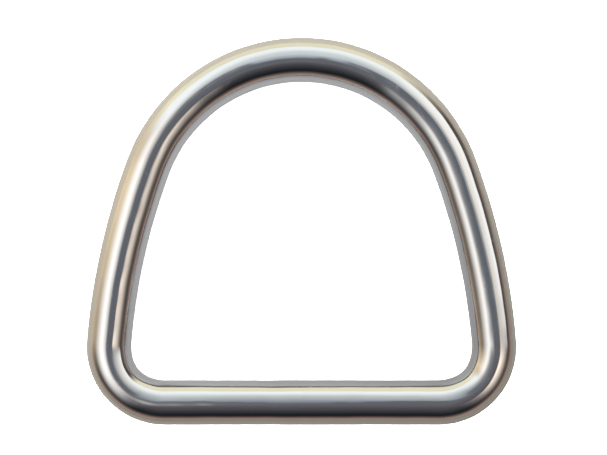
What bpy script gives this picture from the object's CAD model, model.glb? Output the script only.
import math
from typing import Callable, NamedTuple

import bpy
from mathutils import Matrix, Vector


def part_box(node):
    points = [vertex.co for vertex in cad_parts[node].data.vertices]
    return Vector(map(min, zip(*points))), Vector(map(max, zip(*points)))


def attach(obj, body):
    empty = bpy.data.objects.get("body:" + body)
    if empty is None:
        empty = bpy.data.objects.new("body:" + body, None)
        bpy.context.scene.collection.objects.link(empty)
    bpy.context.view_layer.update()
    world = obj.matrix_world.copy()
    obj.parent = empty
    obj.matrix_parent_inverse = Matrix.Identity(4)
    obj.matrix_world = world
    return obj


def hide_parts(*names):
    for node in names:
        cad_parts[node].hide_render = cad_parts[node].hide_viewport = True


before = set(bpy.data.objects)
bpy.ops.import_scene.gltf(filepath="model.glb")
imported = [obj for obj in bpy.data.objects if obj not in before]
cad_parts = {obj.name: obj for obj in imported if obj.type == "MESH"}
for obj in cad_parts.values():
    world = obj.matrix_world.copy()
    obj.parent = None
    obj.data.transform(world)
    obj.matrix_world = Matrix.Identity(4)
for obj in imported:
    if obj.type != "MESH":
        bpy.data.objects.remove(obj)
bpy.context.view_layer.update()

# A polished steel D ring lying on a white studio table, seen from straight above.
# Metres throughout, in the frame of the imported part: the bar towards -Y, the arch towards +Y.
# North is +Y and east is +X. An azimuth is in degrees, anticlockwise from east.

RING_LOW, RING_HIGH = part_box("ring")

# Sizes that the ring's box doesn't give, as in the part's source: the wire, and the inside radii
WIRE_D = 0.005
BEND_R = 0.00375
ARCH_R = 0.01575
SIDE_R = 0.0715


def add_object(name, data):
    obj = bpy.data.objects.new(name, data)
    bpy.context.scene.collection.objects.link(obj)
    return obj


def add_rectangle(name, west, east, south, north, z):
    mesh = bpy.data.meshes.new(name)
    corners = [(west, south, z), (east, south, z), (east, north, z), (west, north, z)]
    mesh.from_pydata(corners, [], [(0, 1, 2, 3)])
    return add_object(name, mesh)


# The wire's centreline


class Stretch(NamedTuple):
    """A stretch of the centreline. place takes 0 to 1 along it and gives the point there and the outward
    direction."""

    kind: str
    length: float
    place: Callable


def bar(start, end, y):
    """A part of the bar, from one x to another."""

    def place(t):
        return Vector((start + (end - start) * t, y)), Vector((0, -1))

    return Stretch("bar", end - start, place)


def arc(kind, centre, radius, start, end):
    """An arc from one angle to another, in radians."""

    def place(t):
        a = start + (end - start) * t
        out = Vector((math.cos(a), math.sin(a)))
        return centre + radius * out, out

    return Stretch(kind, radius * (end - start), place)


def side_centre(bend_c, to_bend, arch_c, to_arch):
    """The centre of the right side's bow. The side runs smoothly into the bend and the arch, so its centre
    is a fixed way from each of theirs."""
    between = arch_c - bend_c
    along = (between.length_squared + to_bend**2 - to_arch**2) / (2 * between.length)
    aside = math.sqrt(to_bend**2 - along**2)
    unit = between.normalized()
    return bend_c + along * unit + aside * Vector((-unit.y, unit.x))


def mirrored(point):
    return Vector((-point.x, point.y))


def wire_stretches():
    """The whole centreline, going anticlockwise from the middle of the bar."""
    wire_r = WIRE_D / 2
    bend, arch, side = BEND_R + wire_r, ARCH_R + wire_r, SIDE_R + wire_r
    clear_half = (RING_HIGH.x - RING_LOW.x) / 2 - WIRE_D
    span = RING_HIGH.y - RING_LOW.y - WIRE_D
    bar_y = -span / 2
    bar_half = clear_half - BEND_R
    bend_c = Vector((bar_half, bar_y + bend))
    arch_c = Vector((0, bar_y + span - arch))
    side_c = side_centre(bend_c, side - bend, arch_c, side - arch)
    bend_end = math.atan2(bend_c.y - side_c.y, bend_c.x - side_c.x)
    side_end = math.atan2(arch_c.y - side_c.y, arch_c.x - side_c.x)
    pi = math.pi
    return [
        bar(0, bar_half, bar_y),
        arc("bend", bend_c, bend, -pi / 2, bend_end),
        arc("side", side_c, side, bend_end, side_end),
        arc("arch", arch_c, arch, side_end, pi - side_end),
        arc("side", mirrored(side_c), side, pi - side_end, pi - bend_end),
        arc("bend", mirrored(bend_c), bend, pi - bend_end, 3 * pi / 2),
        bar(-bar_half, 0, bar_y),
    ]


# The ring's mesh, which is sections of the wire joined up


class Swing(NamedTuple):
    """A slow swing of the wire's radius: how far it goes either way in metres, how often along the whole
    wire, and where it starts, in radians. Its outermost point is the true radius."""

    reach: float
    count: int
    phase: float


SECTIONS = 780
POINTS_ROUND = 96
WIRE_UV = "wire"
# Bending squeezes the wire from inside the bend: share of its radius, most at the bend's middle, and how
# fast it falls off from there
SQUEEZE = 0.06
SQUEEZE_POWER = 3
# Hand-finished wire isn't perfectly even. Each swing also comes this often in one turn round the section
UNEVEN = [Swing(6e-6, 9, 0.4), Swing(4e-6, 23, 2.1), Swing(3e-6, 41, 4.4)]
SWINGS_ROUND = 2


def sample_wire():
    """Even steps along the whole wire, each as its point, the outward direction and how bent the wire is
    there from 0 to 1. Then the whole length."""
    stretches = wire_stretches()
    total = sum(stretch.length for stretch in stretches)
    samples = []
    for i in range(SECTIONS):
        s = total * i / SECTIONS
        for stretch in stretches:
            if s <= stretch.length:
                break
            s -= stretch.length
        bent = 0.0
        if stretch.kind == "bend":
            bent = math.sin(math.pi * s / stretch.length) ** SQUEEZE_POWER
        samples.append((*stretch.place(s / stretch.length), bent))
    return samples, total


def wire_radius(turn, a):
    """The wire's radius at the angle a round its section. turn is the way along the wire, as an angle."""
    inwards = 0.0
    for swing in UNEVEN:
        inwards += swing.reach * (1 - math.sin(swing.count * turn + swing.phase + SWINGS_ROUND * a))
    return WIRE_D / 2 - inwards


def ring_points(samples):
    points = []
    for i, (centre, out, bent) in enumerate(samples):
        turn = 2 * math.pi * i / SECTIONS
        squeeze = SQUEEZE * bent / 2
        for j in range(POINTS_ROUND):
            a = 2 * math.pi * j / POINTS_ROUND
            r = wire_radius(turn, a)
            outward = r * (math.cos(a) * (1 - squeeze) + squeeze)
            z = WIRE_D / 2 + r * math.sin(a)
            points.append((centre.x + out.x * outward, centre.y + out.y * outward, z))
    return points


def ring_faces():
    """The faces, and for each of their corners its place on the wire: along it and round it, 0 to 1."""
    faces, places = [], []
    for i in range(SECTIONS):
        for j in range(POINTS_ROUND):
            corners = [(i, j), (i + 1, j), (i + 1, j + 1), (i, j + 1)]
            faces.append([a % SECTIONS * POINTS_ROUND + b % POINTS_ROUND for a, b in corners])
            places += [(a / SECTIONS, b / POINTS_ROUND) for a, b in corners]
    return faces, places


def make_ring(samples):
    """The ring as one piece, with a UV map that says where on the wire each point is."""
    faces, places = ring_faces()
    mesh = bpy.data.meshes.new("ring_wire")
    mesh.from_pydata(ring_points(samples), [], faces)
    layer = mesh.uv_layers.new(name=WIRE_UV)
    layer.data.foreach_set("uv", [x for place in places for x in place])
    mesh.shade_smooth()
    return add_object("ring_wire", mesh)


# Building node trees

# The Mix node's sockets for colours
MIX_A, MIX_B, MIX_RESULT = 6, 7, 2


class Graph:
    """Adds nodes to a node tree. A value for a socket is a number, a colour or another node's output."""

    def __init__(self, tree):
        self.tree = tree
        tree.nodes.clear()

    def node(self, kind, **settings):
        n = self.tree.nodes.new(kind)
        for name, setting in settings.items():
            setattr(n, name, setting)
        return n

    def put(self, socket, value):
        if isinstance(value, bpy.types.NodeSocket):
            self.tree.links.new(value, socket)
        else:
            socket.default_value = value

    def apply(self, kind, *values, **settings):
        """A new node's first output, with the values in its first sockets."""
        n = self.node(kind, **settings)
        for socket, value in zip(n.inputs, values):
            self.put(socket, value)
        return n.outputs[0]

    def end(self, kind, shader):
        """The tree's output node, showing the shader."""
        self.put(self.node(kind).inputs[0], shader)

    def calc(self, operation, *values):
        return self.apply("ShaderNodeMath", *values, operation=operation)

    def smooth(self, value, start, end):
        """0 before start, 1 after end, eased between."""
        settings = {"interpolation_type": "SMOOTHSTEP", "clamp": True}
        return self.apply("ShaderNodeMapRange", value, start, end, 0.0, 1.0, **settings)

    def mix(self, factor, a, b):
        n = self.node("ShaderNodeMix", data_type="RGBA")
        self.put(n.inputs["Factor"], factor)
        self.put(n.inputs[MIX_A], a)
        self.put(n.inputs[MIX_B], b)
        return n.outputs[MIX_RESULT]

    def split(self, vector):
        n = self.node("ShaderNodeSeparateXYZ")
        self.put(n.inputs[0], vector)
        return n.outputs

    def towards(self, x, y, azimuth):
        """How far x, y lies in the direction of the azimuth."""
        a = math.radians(azimuth)
        east, north = self.calc("MULTIPLY", x, math.cos(a)), self.calc("MULTIPLY", y, math.sin(a))
        return self.calc("ADD", east, north)

    def add_shares(self, value, shares, amounts):
        """The value, plus each named amount times its share."""
        for name, share in shares.items():
            value = self.calc("ADD", value, self.calc("MULTIPLY", amounts[name], share))
        return value


def new_material(name):
    mat = bpy.data.materials.new(name)
    mat.use_nodes = True
    return mat, Graph(mat.node_tree)


# The steel


class Grain(NamedTuple):
    """A noise laid on the wire, drawn out along it by squeezing its lengthwise coordinate by stretch."""

    stretch: float
    scale: float
    detail: float
    roughness: float


STEEL = (0.66, 0.655, 0.65, 1)
STEEL_DARK = (0.59, 0.585, 0.58, 1)
ROUGHNESS = 0.07
WAVES = Grain(stretch=0.5, scale=230, detail=1.0, roughness=0.4)
HAZE = Grain(stretch=0.35, scale=600, detail=4.0, roughness=0.6)
LINES = Grain(stretch=0.02, scale=4200, detail=2.0, roughness=0.5)
LINES_RANGE = (0.33, 0.67)
# The scratches of tumbling are the level lines of one noise, kept only where a second noise is high
SCRATCH = Grain(stretch=0.1, scale=2200, detail=0.0, roughness=0.5)
SCRATCH_LEVEL = 0.5
SCRATCH_WIDTH = 0.02
KEPT = Grain(stretch=0.6, scale=900, detail=1.0, roughness=0.5)
KEPT_RANGE = (0.60, 0.68)
# Directions of the scratches in degrees from the wire's length, and how far the second noise is turned on
SCRATCH_TURNS = (-62, -24, 13, 48)
KEPT_TURN = 7
# What the marks add to the steel's paleness, to its roughness, and to its height in metres
PALER = {"haze": 0.6, "lines": 0.4}
ROUGHER = {"haze": 0.03, "lines": 0.015, "scratches": 0.12}
HIGHER = {"waves": 8e-6, "lines": 0.35e-6, "scratches": -0.15e-6}


def wire_place(g, wire_length):
    """A place on the wire in metres: along it from the middle of the bar, and outward and up on its round
    section, which leaves no seam round the wire."""
    uv = g.node("ShaderNodeUVMap", uv_map=WIRE_UV)
    along, angle, _ = g.split(uv.outputs[0])
    angle = g.calc("MULTIPLY", angle, 2 * math.pi)
    return (
        g.calc("MULTIPLY", along, wire_length),
        g.calc("MULTIPLY", g.calc("COSINE", angle), WIRE_D / 2),
        g.calc("MULTIPLY", g.calc("SINE", angle), WIRE_D / 2),
    )


def wire_noise(g, place, grain, turn=0.0):
    """The grain at a place on the wire, turned on the wire's top by turn degrees."""
    along, side, up = place
    c, s = math.cos(math.radians(turn)), math.sin(math.radians(turn))
    lengthwise = g.calc("ADD", g.calc("MULTIPLY", along, c), g.calc("MULTIPLY", side, s))
    lengthwise = g.calc("MULTIPLY", lengthwise, grain.stretch)
    across = g.calc("SUBTRACT", g.calc("MULTIPLY", side, c), g.calc("MULTIPLY", along, s))
    n = g.node("ShaderNodeTexNoise")
    g.put(n.inputs["Vector"], g.apply("ShaderNodeCombineXYZ", lengthwise, across, up))
    n.inputs["Scale"].default_value = grain.scale
    n.inputs["Detail"].default_value = grain.detail
    n.inputs["Roughness"].default_value = grain.roughness
    return n.outputs["Fac"]


def scratch_mask(g, place):
    """1 in the middle of a scratch, 0 beside it."""
    mask = 0.0
    for turn in SCRATCH_TURNS:
        off = g.calc("SUBTRACT", wire_noise(g, place, SCRATCH, turn), SCRATCH_LEVEL)
        line = g.calc("SUBTRACT", 1.0, g.smooth(g.calc("ABSOLUTE", off), 0.0, SCRATCH_WIDTH))
        kept = g.smooth(wire_noise(g, place, KEPT, turn + KEPT_TURN), *KEPT_RANGE)
        mask = g.calc("MAXIMUM", g.calc("MULTIPLY", line, kept), mask)
    return mask


def steel_material(wire_length):
    """Polished stainless steel: a mirror with low waves, soft haze, fine draw lines along the wire and the
    short faint scratches of tumbling."""
    mat, g = new_material("polished_steel")
    place = wire_place(g, wire_length)
    marks = {
        "waves": wire_noise(g, place, WAVES),
        "haze": wire_noise(g, place, HAZE),
        "lines": g.smooth(wire_noise(g, place, LINES), *LINES_RANGE),
        "scratches": scratch_mask(g, place),
    }
    bump = g.node("ShaderNodeBump")
    bump.inputs["Strength"].default_value = 1.0
    bump.inputs["Distance"].default_value = 1.0
    g.put(bump.inputs["Height"], g.add_shares(0.0, HIGHER, marks))
    bsdf = g.node("ShaderNodeBsdfPrincipled")
    bsdf.inputs["Metallic"].default_value = 1.0
    g.put(bsdf.inputs["Base Color"], g.mix(g.add_shares(0.0, PALER, marks), STEEL_DARK, STEEL))
    g.put(bsdf.inputs["Roughness"], g.add_shares(ROUGHNESS, ROUGHER, marks))
    g.put(bsdf.inputs["Normal"], bump.outputs[0])
    g.end("ShaderNodeOutputMaterial", bsdf.outputs[0])
    return mat


# The table

TABLE_HALF = 1.0
TABLE_WHITE = (0.9, 0.9, 0.9, 1)
TABLE_ROUGHNESS = 0.35
# The table as the metal mirrors it is greyer than the overexposed white that the camera sees. It is cooler
# inside the ring and warmer round it. Each has its colour away from the window, then towards the window
IN_METAL_INSIDE = ((0.050, 0.051, 0.053, 1), (0.098, 0.099, 0.102, 1))
IN_METAL_ROUND = ((0.057, 0.054, 0.047, 1), (0.106, 0.097, 0.080, 1))
# The window's azimuth, and how far from the ring's middle the table changes towards it and away from it
WINDOW_AZIMUTH = 120
WINDOW_REACH = 0.030
# Where the inside ends, on a square whose corners are well rounded: it fits the ring better than a circle
INSIDE_REACH = (0.0175, 0.0200)
SQUARENESS = 4


def table_in_metal(g):
    """The mirrored table's colour by its place under the ring."""
    where = g.node("ShaderNodeTexCoord")
    x, y, _ = g.split(where.outputs["Object"])
    bright = g.smooth(g.towards(x, y, WINDOW_AZIMUTH), -WINDOW_REACH, WINDOW_REACH)
    powers = g.calc("ADD", g.calc("POWER", x, SQUARENESS), g.calc("POWER", y, SQUARENESS))
    outside = g.smooth(g.calc("POWER", powers, 1 / SQUARENESS), *INSIDE_REACH)
    return g.mix(outside, g.mix(bright, *IN_METAL_INSIDE), g.mix(bright, *IN_METAL_ROUND))


def make_table():
    """The table, white to the camera and grey to the metal."""
    table = add_rectangle("table", -TABLE_HALF, TABLE_HALF, -TABLE_HALF, TABLE_HALF, RING_LOW.z)
    mat, g = new_material("white_table")
    white = g.apply("ShaderNodeBsdfDiffuse", TABLE_WHITE)
    grey = g.node("ShaderNodeBsdfPrincipled")
    g.put(grey.inputs["Base Color"], table_in_metal(g))
    grey.inputs["Roughness"].default_value = TABLE_ROUGHNESS
    path = g.node("ShaderNodeLightPath")
    shader = g.apply("ShaderNodeMixShader", path.outputs["Is Glossy Ray"], white, grey.outputs[0])
    g.end("ShaderNodeOutputMaterial", shader)
    table.data.materials.append(mat)


# The studio's light

# A panel that leaves these out goes all round, from straight up to below the horizon
ALL_ROUND = 200
FROM_STRAIGHT_UP = (-2, -1)
BELOW_HORIZON = (110, 120)


class Panel(NamedTuple):
    """A stretch of the studio's light by direction, in degrees. Azimuth is its middle, and tilt is from
    straight up. It comes in over its start tilts, goes out over its end tilts and fades at its sides."""

    colour: tuple
    azimuth: float = 0
    half_width: float = ALL_ROUND
    side_fade: float = 5
    start: tuple = FROM_STRAIGHT_UP
    end: tuple = BELOW_HORIZON


# The studio round the table, each panel painted over the ones before it
PANELS = {
    "ceiling": Panel(
        colour=(0.25, 0.23, 0.26),
        end=(-25, 70),
    ),
    "north_wall": Panel(
        colour=(1.20, 1.15, 0.85),
        azimuth=98,
        half_width=50,
        side_fade=14,
        start=(62, 66),
    ),
    "west_wall": Panel(
        colour=(2.35, 1.95, 1.30),
        azimuth=163,
        half_width=0,
        side_fade=46,
        start=(-4, 8),
    ),
    "far_walls": Panel(
        colour=(1.60, 1.10, 0.90),
        azimuth=-78,
        half_width=118,
        side_fade=100,
        start=(61, 130),
    ),
    "north_box": Panel(
        colour=(1.35, 1.45, 1.45),
        azimuth=73,
        half_width=74,
        side_fade=9,
        start=(14, 18),
        end=(64, 68),
    ),
    "west_box": Panel(
        colour=(1.75, 1.70, 1.65),
        azimuth=183,
        half_width=40,
        side_fade=23,
        start=(3, 10),
        end=(27, 74),
    ),
    "east_box": Panel(
        colour=(3.60, 3.10, 2.65),
        azimuth=2,
        half_width=43,
        side_fade=24,
        start=(24, 28),
        end=(-9, 75),
    ),
    "north_lamp": Panel(
        colour=(1.65, 1.85, 2.00),
        azimuth=94,
        half_width=18,
        side_fade=4,
        start=(-2, 7),
        end=(18, 38),
    ),
}
# The room between the panels, and the plain backdrop that the camera sees in their place
ROOM = (0.007, 0.013, 0.018)
BACKDROP = (0.93, 0.93, 0.93)
# Straight up, the sideways part of a direction is nothing, and this takes its place so that it can divide
TINY = 1e-6


def panel_mask(g, panel, off, tilt):
    """How much of the panel shows, from 0 to 1. off is the angle from its azimuth."""
    inner, outer = panel.half_width - panel.side_fade, panel.half_width + panel.side_fade
    across = g.calc("SUBTRACT", 1.0, g.smooth(off, inner, outer))
    up = g.smooth(tilt, *panel.start)
    down = g.calc("SUBTRACT", 1.0, g.smooth(tilt, *panel.end))
    return g.calc("MULTIPLY", across, g.calc("MULTIPLY", up, down))


def studio_colour(g):
    """The light's colour by its direction."""
    where = g.node("ShaderNodeTexCoord")
    x, y, z = g.split(where.outputs["Generated"])
    flat = g.calc("SQRT", g.calc("ADD", g.calc("MULTIPLY", x, x), g.calc("MULTIPLY", y, y)))
    flat = g.calc("MAXIMUM", flat, TINY)
    tilt = g.calc("DEGREES", g.calc("ARCCOSINE", z))
    colour = (*ROOM, 1)
    for panel in PANELS.values():
        cosine = g.calc("DIVIDE", g.towards(x, y, panel.azimuth), flat)
        cosine = g.calc("MINIMUM", g.calc("MAXIMUM", cosine, -1.0), 1.0)
        off = g.calc("DEGREES", g.calc("ARCCOSINE", cosine))
        colour = g.mix(panel_mask(g, panel, off, tilt), colour, (*panel.colour, 1))
    return colour


def make_world():
    """The panels light the ring from all round, and the camera sees a plain backdrop instead of them."""
    world = bpy.data.worlds.new("studio")
    bpy.context.scene.world = world
    world.use_nodes = True
    g = Graph(world.node_tree)
    light = g.apply("ShaderNodeBackground", studio_colour(g))
    seen = g.apply("ShaderNodeBackground", (*BACKDROP, 1))
    path = g.node("ShaderNodeLightPath")
    shader = g.apply("ShaderNodeMixShader", path.outputs["Is Camera Ray"], light, seen)
    g.end("ShaderNodeOutputWorld", shader)


# A dark screen over the ring, which the metal mirrors and the picture doesn't show. It stands for what was
# dark above the real ring


class Edge(NamedTuple):
    """Where an edge lies, and how far it fades each way."""

    at: float
    fade: float


SCREEN_GREY = (0.18, 0.20, 0.23)
SCREEN_HEIGHT = 0.16
SCREEN_EDGES = {
    "west": Edge(-0.060, 0.050),
    "east": Edge(0.160, 0.190),
    "south": Edge(-0.035, 0.018),
    "north": Edge(0.095, 0.140),
}


def screen_mask(g, lows, highs):
    """1 where the screen is dark, and less where an edge fades."""
    where = g.node("ShaderNodeTexCoord")
    x, y, _ = g.split(where.outputs["Object"])
    from_west = g.smooth(x, lows["west"], highs["west"])
    mask = g.calc("MULTIPLY", from_west, g.smooth(y, lows["south"], highs["south"]))
    for value, side in ((x, "east"), (y, "north")):
        gone = g.calc("MULTIPLY", mask, g.smooth(value, lows[side], highs[side]))
        mask = g.calc("SUBTRACT", mask, gone)
    return mask


def make_screen():
    lows = {side: edge.at - edge.fade for side, edge in SCREEN_EDGES.items()}
    highs = {side: edge.at + edge.fade for side, edge in SCREEN_EDGES.items()}
    z = RING_LOW.z + SCREEN_HEIGHT
    screen = add_rectangle("dark_screen", lows["west"], highs["east"], lows["south"], highs["north"], z)
    screen.visible_camera = False
    screen.visible_diffuse = False
    screen.visible_shadow = False
    mat, g = new_material("dark_screen")
    clear = g.apply("ShaderNodeBsdfTransparent")
    dark = g.apply("ShaderNodeEmission", (*SCREEN_GREY, 1))
    shader = g.apply("ShaderNodeMixShader", screen_mask(g, lows, highs), clear, dark)
    g.end("ShaderNodeOutputMaterial", shader)
    screen.data.materials.append(mat)


# Discs of light that whiten the table and stay out of the metal's reflections: one overhead, and one by the
# window that brightens the table on that side of the wire


class Fill(NamedTuple):
    """A disc of light that faces the ring: metres across, place and watts."""

    size: float
    place: tuple
    watts: float


FILLS = {
    "overhead_fill": Fill(0.8, (-0.03, 0.05, 0.7), 36.0),
    "window_fill": Fill(0.4, (-0.35, 0.45, 0.45), 12.0),
}


def make_fills():
    for name, fill in FILLS.items():
        data = bpy.data.lights.new(name, "AREA")
        data.shape = "DISK"
        data.size = fill.size
        data.energy = fill.watts
        lamp = add_object(name, data)
        lamp.location = fill.place
        lamp.rotation_euler = (-lamp.location).to_track_quat("-Z", "Y").to_euler()
        lamp.visible_glossy = False
        lamp.visible_camera = False


# The camera, straight above. The image is 607 x 455 pixels, and the ring's overall width covers RING_PX of
# its width

IMAGE_W = 607
RING_PX = 429.9
LENS_MM = 80.0
SENSOR_MM = 36.0
CLIP = (0.01, 20)
# Where the ring's middle lies from the image's middle, in pixels to the right and up
RING_OFFSET_PX = (-2.0, -3.6)


def make_camera():
    data = bpy.data.cameras.new("camera")
    data.lens = LENS_MM
    data.sensor_width = SENSOR_MM
    data.clip_start, data.clip_end = CLIP
    px = (RING_HIGH.x - RING_LOW.x) / RING_PX
    height = WIRE_D / 2 + px * IMAGE_W * LENS_MM / SENSOR_MM
    right, up = RING_OFFSET_PX
    camera = add_object("camera", data)
    camera.location = (-right * px, -up * px, height)
    bpy.context.scene.camera = camera


wire_samples, wire_length = sample_wire()
ring = make_ring(wire_samples)
ring.data.materials.append(steel_material(wire_length))
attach(ring, "root")
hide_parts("ring")
make_table()
make_world()
make_screen()
make_fills()
make_camera()
bpy.context.scene.view_settings.view_transform = "Standard"
